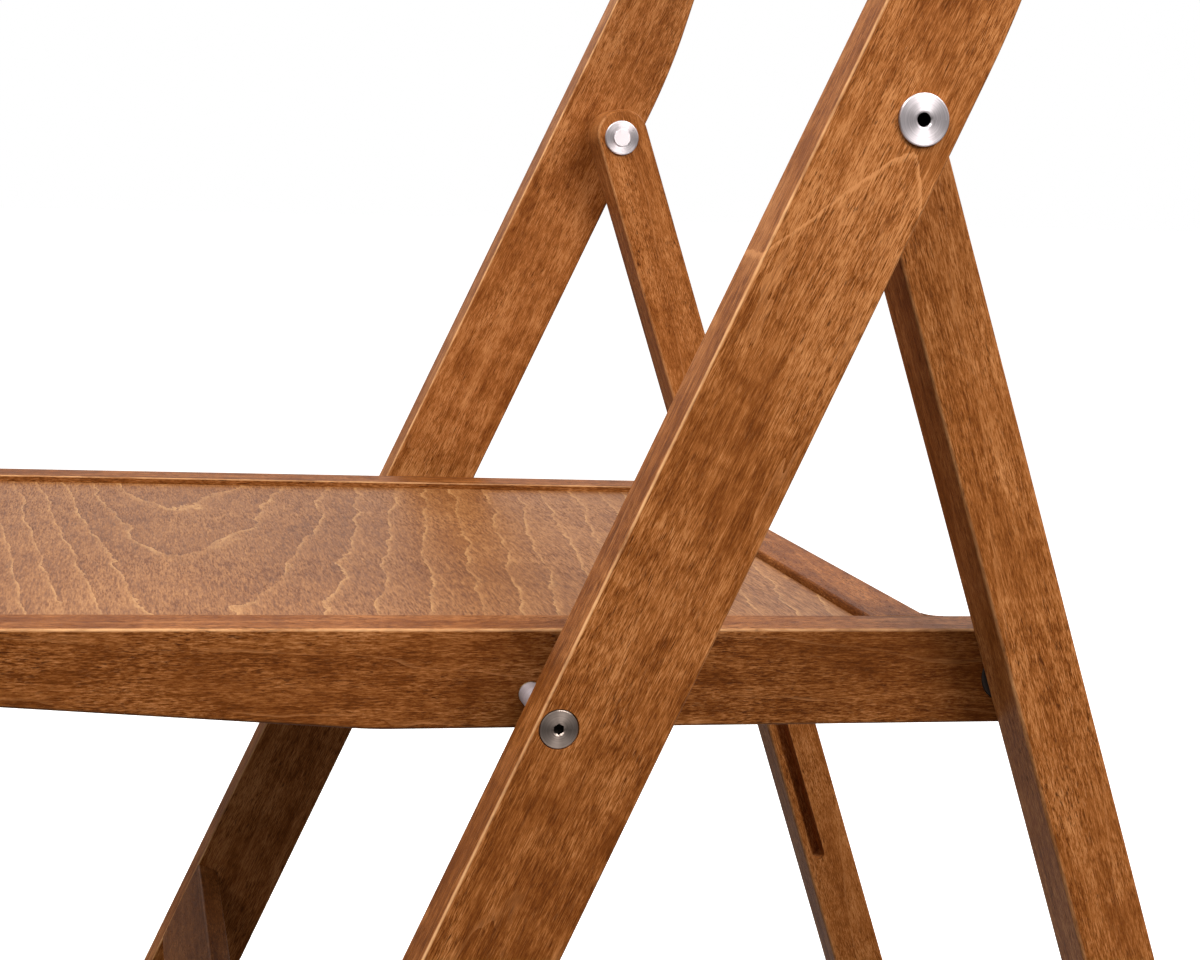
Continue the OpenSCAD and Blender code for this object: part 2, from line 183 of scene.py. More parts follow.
def layers(tree, space, specs, length=1.0):
    # one noise for each entry; names in longLayers are drawn out along the board
    found = []
    for name, (scale, shift, detail, rough, distort) in specs.items():
        if name in longLayers:
            scale = (scale[0] / length, *scale[1:])
        found.append(noise(tree, stretch(tree, space, scale, shift), detail, rough, distort))
    return found


def weigh(tree, tone, layer, amount, middle=0.5):
    return mulAdd(tree, minus(tree, layer, middle), amount, tone)


def roughen(tree, shader, strength, distance, height):
    bump = put(tree, "ShaderNodeBump", {"Strength": strength, "Distance": distance, "Height": height})
    tree.links.new(bump.outputs["Normal"], shader.inputs["Normal"])


def mixColor(tree, fac, a, b, mode="MIX"):
    node = put(tree, "ShaderNodeMix", data_type="RGBA", blend_type=mode)
    for socket, value in zip((node.inputs[0], node.inputs[6], node.inputs[7]), (fac, a, b)):
        if isinstance(value, bpy.types.NodeSocket):
            tree.links.new(value, socket)
        else:
            socket.default_value = value
    return node.outputs[2]


def ramp(tree, value, stops):
    node = put(tree, "ShaderNodeValToRGB", {"Fac": value})
    cr = node.color_ramp
    while len(cr.elements) < len(stops):
        cr.elements.new(0.5)
    for element, (position, color) in zip(cr.elements, stops):
        element.position = position
        element.color = (*color, 1)
    return node.outputs["Color"]


# stained wood; the attribute boardSpace runs along, across and through each board
woodTones = {
    "pore": (0.034, 0.008, 0.0022),
    "deep": (0.094, 0.0240, 0.0042),
    "brown": (0.185, 0.0520, 0.0090),
    "warm": (0.315, 0.1070, 0.0260),
    "pale": (0.520, 0.2200, 0.0780),
    # edge: the pale colour of the rounded edges, partly worn wood and partly painted highlight
    "edge": (0.650, 0.3550, 0.1650),
}


archSpec = {
    "apex": (0.2033, 0.0213),
    "slope": 1.9,
    "blunt": 0.0042,
    "line": 0.0014,
    "reach": 0.055,
}


def archFigure(tree, space):
    # one pale pointed arch of early wood: its line and the area below it
    split = put(tree, "ShaderNodeSeparateXYZ", {"Vector": space}).outputs
    waver = noise(tree, stretch(tree, space, (120, 200, 200)), 3.0, 0.6)
    offset = minus(tree, split[1], archSpec["apex"][1])
    curve = calc(tree, "SQRT", mulAdd(tree, offset, offset, archSpec["blunt"] ** 2))
    drop = minus(tree, archSpec["apex"][0], split[0])
    drop = mulAdd(tree, minus(tree, curve, archSpec["blunt"]), -archSpec["slope"], drop)
    drop = mulAdd(tree, minus(tree, waver, 0.5), 0.006, drop)
    near = band(tree, drop, archSpec["reach"], 0.004)
    line = mul(tree, band(tree, drop, -0.0003, 0.0002), band(tree, drop, archSpec["line"] * 2, 0.0004))
    return line, mul(tree, near, band(tree, drop, 0.0, 0.004))


# scale along, across and through the board, shift, detail, roughness, distortion
woodLayers = {
    "patches": ((15, 40, 40), (0, 0, 0), 4.0, 0.60, 0.9),
    "mottle": ((60, 190, 190), (3, 1, 2), 5.0, 0.66, 0.5),
    "streaks": ((9, 190, 190), (2, 5, 8), 4.0, 0.62, 0.2),
    "figure": ((95, 22, 22), (3, 1, 2), 3.0, 0.55, 0.6),
    "fibre": ((165, 2100, 2100), (5, 7, 1), 5.0, 0.78, 0.2),
    "dash": ((360, 2900, 2900), (1, 9, 4), 3.0, 0.68, 0.2),
    "sheen": ((380, 1800, 1800), (7, 3, 9), 3.0, 0.68, 0.3),
    "pore": ((330, 1900, 1900), (8, 2, 6), 1.5, 0.5, 0.0),
    "density": ((38, 85, 85), (2, 6, 8), 4.0, 0.6, 0.0),
    "wander": ((8, 38, 38), (4, 4, 4), 4.0, 0.55, 0.0),
}
longLayers = ("fibre", "dash", "sheen", "pore")


# growth rings: millimetres between them, their centre across and through the board, lean and wander
ringSpec = {
    "spacing": 16.0,
    "across": 0.012,
    "through": 0.05,
    "lean": 0.075,
    "wander": 0.022,
}


def stainedWood(name, tint=1.0, blotches=1.0, flecks=1.0, lift=0.0, length=1.0, rubHighlight=1.0, archAndShade=False):
    mat, tree, shader = newMaterial(name)
    space = put(tree, "ShaderNodeAttribute", attribute_name="boardSpace").outputs["Vector"]
    wearHighlight = put(tree, "ShaderNodeAttribute", attribute_name="edgeWearHighlight").outputs["Fac"]

    (patches, mottle, streaks, figure, fibre, dash, sheen, pore, density,
     wander) = layers(tree, space, woodLayers, length)
    busy = mul(tree, band(tree, patches, 0.40, 0.60, 0.45, 1.20), flecks)

    # growth rings cut at a slant, which leave long arches
    split = put(tree, "ShaderNodeSeparateXYZ", {"Vector": space}).outputs
    depth = minus(tree, split[2], ringSpec["through"])
    width = minus(tree, split[1], ringSpec["across"])
    squares = mulAdd(tree, width, width, mul(tree, depth, depth))
    drift = mulAdd(tree, split[0], ringSpec["lean"], mul(tree, wander, ringSpec["wander"]))
    rings = mul(tree, calc(tree, "ADD", calc(tree, "SQRT", squares), drift), 1000 / ringSpec["spacing"])
    phase = calc(tree, "FRACT", rings)
    late = band(tree, phase, 0.35, 1.0)
    ringLine = mul(tree, band(tree, phase, 0.0, 0.07, 1.0, 0.0), band(tree, density, 0.40, 0.62))

    tone = 0.50 + lift
    for layer, amount in ((patches, 0.55 * blotches), (mottle, 0.55 * blotches), (figure, 0.35 * blotches),
                          (streaks, 0.60), (fibre, 1.20), (dash, mul(tree, busy, 1.40))):
        tone = weigh(tree, tone, layer, amount)
    tone = mulAdd(tree, late, -0.05, tone)
    if archAndShade:
        # painted shade: darker low on the board, where less light falls; darker again above the arch
        paintedLowShade = band(tree, split[0], 0.02, 0.13, 1.0, 0.0)
        upper = mul(tree, band(tree, split[0], 0.19, 0.24), band(tree, split[0], 1.0, 2.0, 1.0, 0.0))
        tone = mulAdd(tree, paintedLowShade, -0.10, mulAdd(tree, upper, -0.08, tone))
        archLine, under = archFigure(tree, space)
        tone = mulAdd(tree, archLine, 0.42, tone)
        tone = weigh(tree, tone, fibre, mul(tree, under, 1.1))
    color = ramp(tree, tone, [(0.16, woodTones["deep"]), (0.40, woodTones["brown"]),
                              (0.58, woodTones["warm"]), (0.86, woodTones["pale"])])
    darkDash = mul(tree, band(tree, dash, 0.47, 0.37), band(tree, density, 0.38, 0.60, 0.15, 1.0))
    paleDash = mul(tree, band(tree, sheen, 0.55, 0.66), band(tree, density, 0.62, 0.38, 0.25, 1.0))
    poreMask = mul(tree, band(tree, pore, 0.60, 0.67), band(tree, mottle, 0.56, 0.46, 0.1, 1.0))
    color = mixColor(tree, mul(tree, darkDash, mul(tree, busy, 0.60)), color, (*woodTones["deep"], 1))
    color = mixColor(tree, mul(tree, paleDash, mul(tree, busy, 0.50)), color, (*woodTones["pale"], 1))
    color = mixColor(tree, mul(tree, poreMask, mul(tree, busy, 0.65)), color, (*woodTones["pore"], 1))
    color = mixColor(tree, mul(tree, ringLine, 0.45), color, (*woodTones["pale"], 1))
    # painted highlight, partly worn wood: the rounded edges turn pale where the light catches them
    rubbedHighlight = mul(tree, wearHighlight, band(tree, mottle, 0.32, 0.62, 0.25 * rubHighlight, 0.95 * rubHighlight))
    color = mixColor(tree, rubbedHighlight, color, (*woodTones["edge"], 1))
    color = mixColor(tree, 1.0, color, (tint, tint, tint, 1), "MULTIPLY")
    tree.links.new(color, shader.inputs["Base Color"])

    gloss = mulAdd(tree, fibre, 0.20, 0.34)
    gloss = mulAdd(tree, poreMask, 0.15, gloss)
    tree.links.new(gloss, shader.inputs["Roughness"])
    shader.inputs["Specular IOR Level"].default_value = 0.04
    height = mulAdd(tree, poreMask, -0.7, mul(tree, fibre, 0.5))
    height = mulAdd(tree, dash, 0.35, height)
    roughen(tree, shader, 0.45, 0.00015, height)
    return mat


veneerSpec = {
    "axis": -0.108,
    "rearSide": (9.0, 0.060),
    "frontSide": (11.5, 0.022),
    "spacing": 0.117,
    "start": 10.0,
    "waver": 0.15,
    "ragged": 0.013,
}


veneerLayers = {
    "waver": ((14, 30, 1), (3, 5, 0), 5.0, 0.62, 0.4),
    "ragged": ((260, 420, 1), (1, 5, 0), 3.0, 0.7, 0.0),
    "breakup": ((45, 45, 1), (6, 6, 0), 2.0, 0.5, 0.0),
    "clouds": ((9, 14, 14), (7, 2, 0), 3.0, 0.55, 0.6),
    "mottle": ((70, 160, 160), (1, 2, 0), 4.0, 0.6, 0.0),
    "fibre": ((75, 1000, 1000), (2, 8, 0), 5.0, 0.72, 0.2),
    "dash": ((190, 1700, 1700), (9, 1, 0), 3.0, 0.66, 0.2),
    "density": ((22, 30, 30), (5, 5, 0), 3.0, 0.55, 0.0),
}


def veneer(name):
    # rotary-cut sheet: pale contour lines wander across the grain
    mat, tree, shader = newMaterial(name)
    space = put(tree, "ShaderNodeAttribute", attribute_name="boardSpace").outputs["Vector"]
    split = put(tree, "ShaderNodeSeparateXYZ", {"Vector": space}).outputs
    (waver, ragged, breakup, clouds, mottle, fibre, dash,
     density) = layers(tree, space, veneerLayers)
    # arches nested along the grain, steep on their front side and easy on their rear side
    offset = minus(tree, split[1], veneerSpec["axis"])
    field = mulAdd(tree, waver, veneerSpec["waver"], split[0])
    field = mulAdd(tree, ragged, veneerSpec["ragged"], field)
    for side, slope, blunt in ((1.0, *veneerSpec["rearSide"]), (-1.0, *veneerSpec["frontSide"])):
        reach = calc(tree, "MAXIMUM", mul(tree, offset, side), 0.0)
        curve = calc(tree, "SQRT", mulAdd(tree, reach, reach, blunt * blunt))
        field = mulAdd(tree, minus(tree, curve, blunt), slope, field)
    turns = mulAdd(tree, field, 1 / veneerSpec["spacing"], veneerSpec["start"])
    phase = calc(tree, "FRACT", turns)
    line = mul(tree, band(tree, phase, 0.0, 0.10, 1.0, 0.0), band(tree, breakup, 0.36, 0.60, 0.12, 1.0))
    halo = mul(tree, band(tree, phase, 0.0, 0.30, 1.0, 0.0), band(tree, phase, 0.99, 1.0, 1.0, 0.0))
    late = band(tree, phase, 0.45, 1.0)

    tone = 0.54
    for layer, amount in ((clouds, 0.55), (mottle, 0.40), (fibre, 1.10), (dash, 0.80)):
        tone = weigh(tree, tone, layer, amount)
    tone = mulAdd(tree, late, -0.07, tone)
    color = ramp(tree, tone, [(0.20, (0.108, 0.0345, 0.0080)), (0.42, (0.180, 0.0640, 0.0170)),
                              (0.60, (0.242, 0.0960, 0.0285)), (0.85, (0.345, 0.1580, 0.0570))])
    darkDash = mul(tree, band(tree, dash, 0.48, 0.38), band(tree, density, 0.38, 0.58, 0.35, 1.0))
    color = mixColor(tree, mul(tree, darkDash, 0.70), color, (0.100, 0.0340, 0.0150, 1))
    color = mixColor(tree, mul(tree, band(tree, dash, 0.55, 0.66), 0.30), color, (0.40, 0.19, 0.07, 1))
    color = mixColor(tree, mul(tree, halo, 0.16), color, (0.520, 0.250, 0.090, 1))
    color = mixColor(tree, mul(tree, line, 0.62), color, (0.520, 0.280, 0.110, 1))
    tree.links.new(color, shader.inputs["Base Color"])
    gloss = mulAdd(tree, fibre, 0.14, 0.34)
    tree.links.new(mulAdd(tree, darkDash, 0.10, gloss), shader.inputs["Roughness"])
    shader.inputs["Specular IOR Level"].default_value = 0.09
    height = mulAdd(tree, darkDash, -0.5, mul(tree, fibre, 0.4))
    roughen(tree, shader, 0.30, 0.00010, height)
    return mat


def turnedSteel(name, base, rough, anisotropy, metallic=1.0, ringScale=2100.0):
    mat, tree, shader = newMaterial(name)
    tangent = put(tree, "ShaderNodeTangent", direction_type="UV_MAP", uv_map="turned").outputs[0]
    uv = put(tree, "ShaderNodeUVMap", uv_map="turned").outputs[0]
    rings = noise(tree, stretch(tree, uv, (1.5, ringScale, 1)), 3.0, 0.7)
    place = put(tree, "ShaderNodeTexCoord").outputs["Object"]
    scuff = noise(tree, stretch(tree, place, (260, 260, 260)), 4.0, 0.6)
    dark = tuple(v * 0.70 for v in base)
    paintedSocketShade = put(tree, "ShaderNodeAttribute", attribute_name="paintedSocketShade").outputs["Fac"]
    color = mixColor(tree, band(tree, rings, 0.35, 0.65), (*dark, 1), (*base, 1))
    color = mixColor(tree, mul(tree, band(tree, scuff, 0.55, 0.75), 0.25), color, (*dark, 1))
    # painted shade: faces deep in the socket are painted near black
    color = mixColor(tree, paintedSocketShade, color, (0.006, 0.005, 0.004, 1))
    tree.links.new(color, shader.inputs["Base Color"])
    tree.links.new(mulAdd(tree, rings, 0.16, rough - 0.08), shader.inputs["Roughness"])
    shader.inputs["Metallic"].default_value = metallic
    shader.inputs["Anisotropic"].default_value = anisotropy
    shader.inputs["Anisotropic Rotation"].default_value = 0.25
    tree.links.new(tangent, shader.inputs["Tangent"])
    roughen(tree, shader, 0.12, 0.00003, rings)
    return mat


def plainMetal(name, base, rough):
    mat, tree, shader = newMaterial(name)
    place = put(tree, "ShaderNodeTexCoord").outputs["Object"]
    drawn = noise(tree, stretch(tree, place, (180, 1500, 1500)), 4.0, 0.65)
    stain = noise(tree, stretch(tree, place, (300, 300, 300)), 3.0, 0.5)
    dark = tuple(v * 0.6 for v in base)
    color = mixColor(tree, band(tree, drawn, 0.3, 0.7), (*dark, 1), (*base, 1))
    color = mixColor(tree, mul(tree, band(tree, stain, 0.55, 0.8), 0.3), color, (*dark, 1))
    tree.links.new(color, shader.inputs["Base Color"])
    tree.links.new(mulAdd(tree, drawn, 0.25, rough - 0.1), shader.inputs["Roughness"])
    shader.inputs["Metallic"].default_value = 1.0
    roughen(tree, shader, 0.15, 0.00004, drawn)
    return mat


def mouldedNylon(name, base, rough):
    mat, tree, shader = newMaterial(name)
    place = put(tree, "ShaderNodeTexCoord").outputs["Object"]
    grain = noise(tree, stretch(tree, place, (2600, 2600, 2600)), 3.0, 0.6)
    dust = noise(tree, stretch(tree, place, (140, 140, 140)), 4.0, 0.6)
    worn = tuple(min(1, v * 2.2 + 0.02) for v in base)
    color = mixColor(tree, band(tree, dust, 0.45, 0.8), (*base, 1), (*worn, 1))
    tree.links.new(color, shader.inputs["Base Color"])
    tree.links.new(mulAdd(tree, dust, 0.25, rough - 0.1), shader.inputs["Roughness"])
    roughen(tree, shader, 0.3, 0.00004, grain)
    return mat


def dowelBeech(name):
    mat, tree, shader = newMaterial(name)
    place = put(tree, "ShaderNodeTexCoord").outputs["Object"]
    fibre = noise(tree, stretch(tree, place, (60, 1400, 1400)), 4.0, 0.6)
    ray = noise(tree, stretch(tree, place, (500, 2600, 2600), (3, 3, 3)), 2.0, 0.5)
    color = ramp(tree, fibre, [(0.3, (0.42, 0.27, 0.14)), (0.5, (0.58, 0.41, 0.24)),
                               (0.7, (0.68, 0.52, 0.34))])
    color = mixColor(tree, mul(tree, band(tree, ray, 0.58, 0.7), 0.5), color, (0.30, 0.17, 0.08, 1))
    tree.links.new(color, shader.inputs["Base Color"])
    tree.links.new(mulAdd(tree, fibre, 0.2, 0.55), shader.inputs["Roughness"])
    roughen(tree, shader, 0.3, 0.0001, fibre)
    return mat


finishes = {
    "wood_frame": stainedWood("stainedStile", tint=0.97, blotches=0.9, flecks=0.85, lift=0.055, length=1.4,
                              archAndShade=True),
    "wood_legs": stainedWood("stainedLeg", blotches=0.55, flecks=0.9, lift=0.03, rubHighlight=0.35),
    "wood_seat": stainedWood("stainedRail", tint=0.80, blotches=0.8, flecks=0.95, lift=-0.03, length=0.9),
    "panel_veneer": veneer("seatVeneer"),
    "dowel_wood": dowelBeech("dowelBeech"),
    "pivot_steel": turnedSteel("pivotSteel", (0.66, 0.60, 0.62), 0.39, 0.80),
    "turned_steel": turnedSteel("turnedSteel", (0.37, 0.295, 0.255), 0.36, 0.80),
    # guide flanges: dark steel, made darker still as painted shade for the gap between seat rail and leg
    "dark_steel": turnedSteel("darkSteelShaded", (0.11, 0.10, 0.095), 0.42, 0.4),
    "insert_brass": plainMetal("insertBrass", (0.70, 0.52, 0.22), 0.35),
    "glide_nylon": mouldedNylon("glideNylon", (0.035, 0.028, 0.022), 0.55),
    "washer_nylon": mouldedNylon("washerNylon", (0.05, 0.047, 0.045), 0.5),
}
pinSteel = plainMetal("pinSteel", (0.55, 0.54, 0.53), 0.35)
# painted shade: the stretcher's stained wood is darkened for the shade under the seat
shadedStretcherWood = stainedWood("stainedStretcherShaded", tint=0.60, blotches=0.8, flecks=0.9, lift=-0.03)
sleeveSteel = turnedSteel("sleeveSteel", (0.50, 0.44, 0.465), 0.42, 0.6, metallic=0.5)
print("finishes made")


# mesh helpers; lengths are in mm
leastSpacing = 0.02
holeBevel = 0.1
squareEnd = 0.15  # edge rounding of an end that meets another board
# share of the painted edge highlight kept on edges away from the light
unlitUnwornShare = 0.12
seedStep = (1.37, 0.31, 0.17)


def ring2d(points, inset):
    count = len(points)
    result = []
    for i, p in enumerate(points):
        a = (p - points[i - 1]).normalized()
        b = (points[(i + 1) % count] - p).normalized()
        na, nb = Vector((-a.y, a.x)), Vector((-b.y, b.x))
        bisector = (na + nb).normalized()
        result.append(p + bisector * (inset / max(0.2, bisector.dot(nb))))
    return result


def hullProfile(points):
    points = [Vector(p) for p in points]
    order = convex_hull_2d(points)
    hull = [points[i] for i in order]
    area = sum(a.x * b.y - b.x * a.y for a, b in zip(hull, hull[1:] + hull[:1]))
    if area < 0:
        hull.reverse()
    kept = []
    for p in hull:
        if not kept or (p - kept[-1]).length > leastSpacing:
            kept.append(p)
    return kept


def arcPoints(centre, radius, start, end, count):
    return [
        (centre[0] + radius * math.cos(math.radians(start + (end - start) * i / count)),
         centre[1] + radius * math.sin(math.radians(start + (end - start) * i / count)))
        for i in range(count + 1)
    ]


def roundedRectangle(low, high, radius, steps=5):
    (x0, y0), (x1, y1) = low, high
    points = []
    for cx, cy, start in ((x1 - radius, y1 - radius, 0), (x0 + radius, y1 - radius, 90),
                          (x0 + radius, y0 + radius, 180), (x1 - radius, y0 + radius, 270)):
        points += arcPoints((cx, cy), radius, start, start + 90, steps)
    return hullProfile(points)


def stitch(bm, loops):
    # quads between neighbouring loops of the same length
    for a, b in zip(loops, loops[1:]):
        for i in range(len(a)):
            j = (i + 1) % len(a)
            bm.faces.new((a[i], a[j], b[j], b[i]))


def loopEdges(bm, loop):
    return [bm.edges.get((loop[i], loop[(i + 1) % len(loop)])) for i in range(len(loop))]


def finishObject(name, bm, plane, grain, seed, mat, body, nodes):
    mesh = bpy.data.meshes.new(name)
    bmesh.ops.recalc_face_normals(bm, faces=bm.faces)
    bm.to_mesh(mesh)
    bm.free()
    finishMesh(name, mesh, plane, grain, seed, mat, body, nodes)


def finishMesh(name, mesh, plane, grain, seed, mat, body, nodes):
    origin, along, across = plane
    lateral = Vector((1, 0, 0))
    axes = {"along": (along, across, lateral), "lateral": (lateral, along, across),
            "upright": (lateral, across, along)}[grain]
    space = mesh.attributes.new("boardSpace", "FLOAT_VECTOR", "POINT")
    shift = Vector([seed * step for step in seedStep])
    for i, v in enumerate(mesh.vertices):
        p = v.co - origin
        space.data[i].vector = Vector([p.dot(axis) for axis in axes]) + shift
    mesh.materials.clear()
    mesh.materials.append(mat)
    for polygon in mesh.polygons:
        polygon.use_smooth = True
        polygon.material_index = 0
    piece = addObject(name, mesh)
    smooth = piece.modifiers.new("evenShading", "WEIGHTED_NORMAL")
    smooth.weight = 80
    smooth.keep_sharp = True
    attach(piece, body)
    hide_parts(*nodes)


def board(profile, xLow, xHigh, plane, rLow, rHigh, holes=(), steps=5, litWornBelow=None, litWornAbove=None):
    # a board whose side view is profile, with rounded edges and bored faces
    # holes: (loop, face, depth) with face "low" or "high", and depth None for a bore right through
    origin, along, across = plane
    bm = bmesh.new()
    wearHighlightLayer = bm.verts.layers.float.new("edgeWearHighlight")

    def vertex(x, p, wearHighlight=0.0):
        # painted highlight and worn wood: only the edges on the lit side turn fully pale
        if (litWornBelow is not None and p.y > litWornBelow) or (litWornAbove is not None and p.y < litWornAbove):
            wearHighlight *= unlitUnwornShare
        v = bm.verts.new(origin + Vector((x * mm, 0, 0)) + along * (p.x * mm) + across * (p.y * mm))
        v[wearHighlightLayer] = wearHighlight
        return v

    rings = []
    for faceX, inward, radius, order in ((xHigh, -1, rHigh, range(steps + 1)),
                                         (xLow, 1, rLow, range(steps, -1, -1))):
        for i in order:
            t = math.radians(90 * i / steps)
            # painted highlight, strongest in the middle of each rounded edge where the light catches it
            wearHighlight = math.sin(2 * t) if 0 < i < steps else 0.0
            x = faceX + inward * radius * (1 - math.cos(t))
            rings.append([vertex(x, p, wearHighlight) for p in ring2d(profile, radius * (1 - math.sin(t)))])
    stitch(bm, rings)

    capEdges = {"high": loopEdges(bm, rings[0]), "low": loopEdges(bm, rings[-1])}
    for loop, face, depth in holes:
        loop = [Vector(p) for p in loop]
        wide = ring2d(loop, -holeBevel)
        faceX, inward = (xHigh, -1) if face == "high" else (xLow, 1)
        end = faceX + inward * depth if depth else (xLow if face == "high" else xHigh)
        stations = [(faceX, wide), (faceX + inward * holeBevel, loop)]
        if depth:
            stations.append((end, loop))
        else:
            stations += [(end - inward * holeBevel, loop), (end, wide)]
        made = [[vertex(x, p) for p in points] for x, points in stations]
        stitch(bm, made)
        capEdges[face] += loopEdges(bm, made[0])
        if depth:
            bm.faces.new(made[-1])
        else:
            other = "low" if face == "high" else "high"
            capEdges[other] += loopEdges(bm, made[-1])
    for edges in capEdges.values():
        bmesh.ops.triangle_fill(bm, use_beauty=True, use_dissolve=False, edges=edges)
    return bm


def mirrored(bm):
    twin = bm.copy()
    for v in twin.verts:
        v.co.x = -v.co.x
    bmesh.ops.reverse_faces(twin, faces=twin.faces)
    return twin


def boardPair(part, nodePart, bm, plane, seeds, body, slotName):
    for side, half, seed in (("right", bm, seeds[0]), ("left", mirrored(bm), seeds[1])):
        finishObject(side + part, half, plane, "along", seed, finishes[slotName], body,
                     [side + "_" + nodePart])


def circleLoop(centre, radius, count=40):
    return arcPoints(centre, radius, 0, 360 - 360 / count, count - 1)


def slotLoop(start, end, across, radius, count=14):
    # a round-ended slot along the board from start to end
    return (arcPoints((end, across), radius, -90, 90, count)
            + arcPoints((start, across), radius, 90, 270, count))


# stiles
stileSpec = {
    "front": -7.4,
    "rear": 32.6,
    "taperStart": 236.0,
    "taperRadius": 330.0,
    "taperAngle": 7.3,
    "topRadius": 9.0,
    "height": 775.0,
    "glide": 3.0,
    "round": 0.9,
    "legPivot": (214.3, 19.6),
    "legBore": 4.05,
    "headBore": 6.28,
    "headDepth": 2.6,
    "litWornStrip": 3.0,
}


def stileProfile(s):
    a = math.radians(slopes["stile"])
    pivotHeight = seatPivot.z / mm
    foot = (pivotHeight - s["glide"]) / math.sin(a)
    cap = s["topRadius"]
    top = (s["height"] - pivotHeight - cap + (cap + s["front"]) * math.cos(a)) / math.sin(a)
    points = [(-foot + s["front"] / math.tan(a), s["front"]), (-foot + s["rear"] / math.tan(a), s["rear"])]
    for i in range(13):
        t = math.radians(s["taperAngle"] * i / 12)
        bend = (s["taperStart"] + s["taperRadius"] * math.sin(t),
                s["rear"] - s["taperRadius"] * (1 - math.cos(t)))
        points.append(bend)
    rear = bend[1] - (top + s["topRadius"] - bend[0]) * math.tan(math.radians(s["taperAngle"]))
    points += circleLoop((top, s["front"] + s["topRadius"]), s["topRadius"], 48)
    points += circleLoop((top, rear - s["topRadius"]), s["topRadius"], 48)
    return hullProfile(points)


stileHoles = [
    (circleLoop((0, 0), stileSpec["headBore"]), "high", stileSpec["headDepth"]),
    (circleLoop(stileSpec["legPivot"], stileSpec["legBore"], 28), "high", None),
]
stileMesh = board(stileProfile(stileSpec), lanes["stileIn"], lanes["stileOut"], stilePlane,
                  stileSpec["round"], stileSpec["round"], stileHoles,
                  litWornBelow=stileSpec["front"] + stileSpec["litWornStrip"])
boardPair("Stile", "stile", stileMesh, stilePlane, (0, 8), "side_frame", "wood_frame")
print("stiles made")


# rear legs
legSpec = {
    "offset": 1.2,
    "width": 25.0,
    "round": 1.3,
    "glide": 3.0,
    "bore": 4.05,
    "topCentre": -1.0,
    "grooveAcross": -4.1,
    "grooveWidth": 6.2,
    "grooveDepth": 10.0,
    "grooveStart": 194.0,
    "grooveEnd": 382.4,
    "litWornStrip": 6.0,
}


def legProfile(s):
    a = math.radians(slopes["leg"])
    drop = (legPivot.z / mm - s["glide"]) / math.sin(a)
    front, rear = s["offset"] - s["width"] / 2, s["offset"] + s["width"] / 2
    points = circleLoop((s["topCentre"], s["offset"]), s["width"] / 2, 72)
    points += [(drop + front / math.tan(a), front), (drop + rear / math.tan(a), rear)]
    return hullProfile(points)


legHoles = [
    (circleLoop((0, 0), legSpec["bore"], 28), "high", None),
    (slotLoop(legSpec["grooveStart"], legSpec["grooveEnd"], legSpec["grooveAcross"],
              legSpec["grooveWidth"] / 2), "low", legSpec["grooveDepth"]),
]
legMesh = board(legProfile(legSpec), lanes["legIn"], lanes["legOut"], legPlane,
                legSpec["round"], legSpec["round"], legHoles,
                litWornBelow=legSpec["offset"] - legSpec["litWornStrip"])
boardPair("Leg", "leg", legMesh, legPlane, (5, 12), "rear_legs", "wood_legs")
print("rear legs made")


# seat frame
seatSpec = {
    "top": 21.2,
    "bottom": -11.4,
    "front": -204.0,
    "rear": 144.0,
    "tail": 182.0,
    "riseStart": -44.0,
    "frontRise": 11.0,
    "cross": 22.0,
    "roundOut": 1.1,
    "roundIn": 0.7,
    "recess": 2.7,
    "panel": 8.0,
    "panelRound": 0.5,
    "gap": 0.35,
    "fillet": 6.0,
    "filletFoot": 0.5,
    "filletSink": 0.05,
    "filletInset": 0.35,
    "flangeBore": 8.7,
    "flangeDepth": 1.7,
    "pivotBore": 3.95,
    "pivotBoreDepth": 14.0,
    "endRound": 4.0,
    "riseRound": 160.0,
    "riseAngle": 3.8,
    "litWornStrip": 5.0,
}


def railProfile(s):
    tail = (s["top"] - s["bottom"]) / 2
    points = circleLoop((s["tail"] - tail, s["top"] - tail), tail, 96)
    corner = s["endRound"]
    points += arcPoints((s["front"] + corner, s["top"] - corner), corner, 90, 180, 8)
    points += arcPoints((s["front"] + corner, s["bottom"] + s["frontRise"] + corner), corner, 180, 270, 8)
    points += arcPoints((s["riseStart"], s["bottom"] + s["riseRound"]), s["riseRound"],
                        270 - s["riseAngle"], 270, 6)
    return hullProfile(points)


guideOffset = Vector(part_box("guide_flanges")[0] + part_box("guide_flanges")[1]) / 2 - seatPivot
guideAlong = guideOffset.dot(seatPlane[1]) / mm
guideUp = guideOffset.dot(seatPlane[2]) / mm
railHoles = [
    (circleLoop((0, 0), seatSpec["pivotBore"], 32), "high", seatSpec["pivotBoreDepth"]),
    (circleLoop((guideAlong, guideUp), seatSpec["flangeBore"], 40), "high", seatSpec["flangeDepth"]),
]
railMesh = board(railProfile(seatSpec), lanes["railIn"], lanes["railOut"], seatPlane,
                 seatSpec["roundIn"], seatSpec["roundOut"], railHoles,
                 litWornAbove=seatSpec["top"] - seatSpec["litWornStrip"])
boardPair("SeatRail", "seat_rail", railMesh, seatPlane, (21, 27), "seat", "wood_seat")


